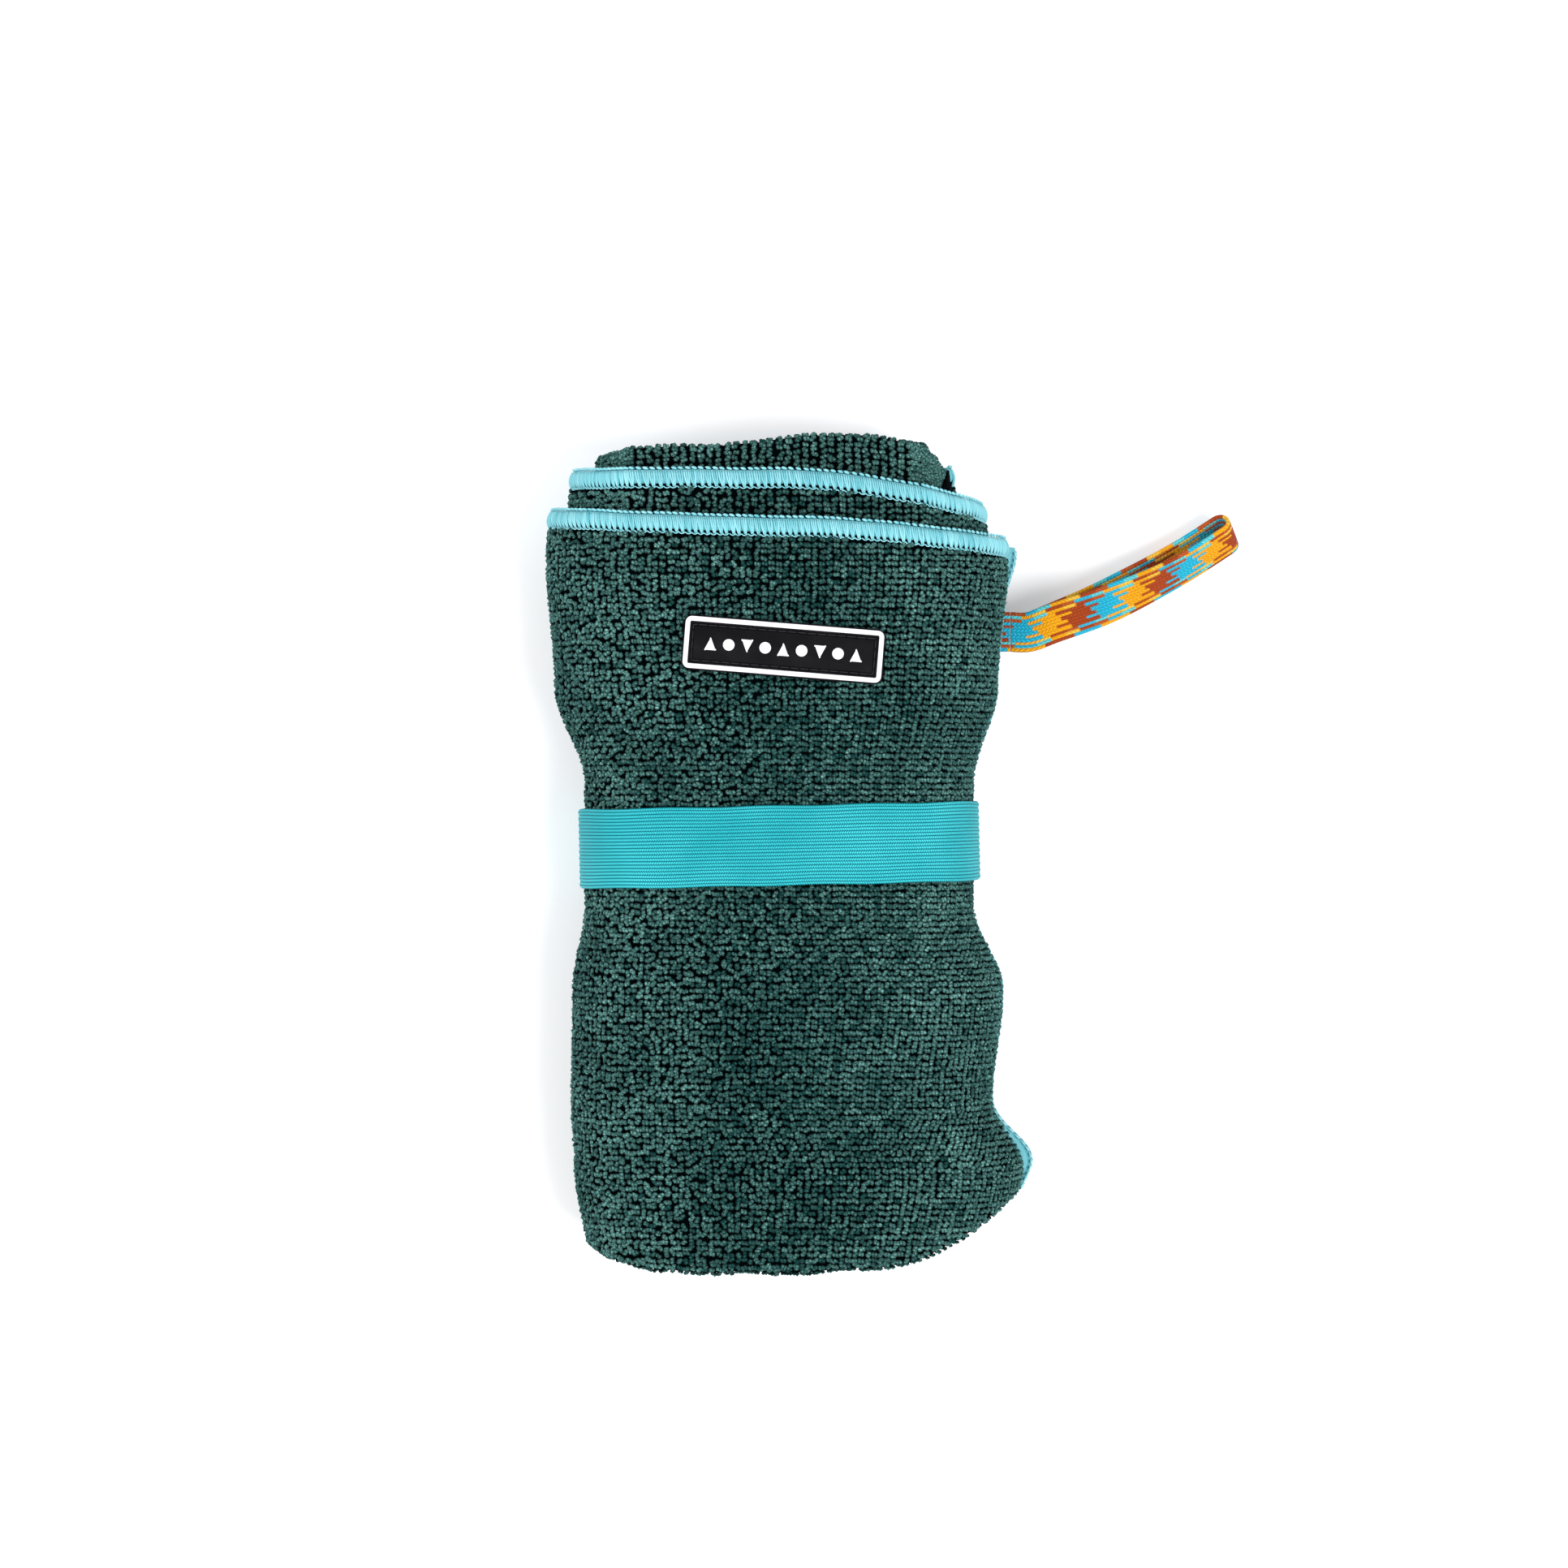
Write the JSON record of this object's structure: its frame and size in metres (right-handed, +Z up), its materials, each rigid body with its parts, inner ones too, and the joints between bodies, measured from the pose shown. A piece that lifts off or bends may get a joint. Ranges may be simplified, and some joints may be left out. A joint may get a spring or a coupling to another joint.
{
  "type": "quick dry towel",
  "caption": "Terry towel folded and rolled flat, held by a wide elastic band, with overlocked hems, a rubber badge and a braided hanging loop.",
  "frame": {"origin": "under the middle of the rolled towel, on the surface that it lies on, measured without the hanging loop", "axes": "+Y along the roll towards its hemmed end, +X across it towards the hanging loop, +Z up out of the front with the badge"},
  "size_m": [0.2264, 0.266, 0.0625],
  "materials": {
    "terry": "looped microfibre pile",
    "overlock_thread": "satin thread",
    "elastic": "woven rib",
    "black_rubber": "matt moulded",
    "white_rubber": "matt moulded",
    "black_thread": "matt thread",
    "braided_tape": "multicolour flat braid"
  },
  "bodies": {
    "towel": {"towel_outer_turn": "terry", "towel_second_turn": "terry", "towel_core": "terry", "hem_long_outer": "overlock_thread", "hem_long_second": "overlock_thread", "hem_short_outer": "overlock_thread", "hem_short_inner": "overlock_thread", "badge_base": "black_rubber", "badge_rim": "white_rubber", "badge_stitching": "black_thread", "badge_mark_1": "white_rubber", "badge_mark_2": "white_rubber", "badge_mark_3": "white_rubber", "badge_mark_4": "white_rubber", "badge_mark_5": "white_rubber", "badge_mark_6": "white_rubber", "badge_mark_7": "white_rubber", "badge_mark_8": "white_rubber", "badge_mark_9": "white_rubber", "loop_tail_upper": "braided_tape", "loop_tail_lower": "braided_tape", "loop_bar_tack": "black_thread"},
    "band": {"elastic_band": "elastic", "band_lap": "elastic", "band_stitching": "overlock_thread"},
    "loop": {"hanging_loop": "braided_tape"}
  },
  "joints": [
    {"name": "band_slide", "type": "slide", "parent": "towel", "child": "band", "axis": [0, 1, 0], "range_m": [-0.006, 0.006]},
    {"name": "loop_swing", "type": "hinge", "parent": "towel", "child": "loop", "pos_m": [0.07341, 0.071, 0.02008], "axis": [0, -1, 0], "range_deg": [0, 90]}
  ]
}
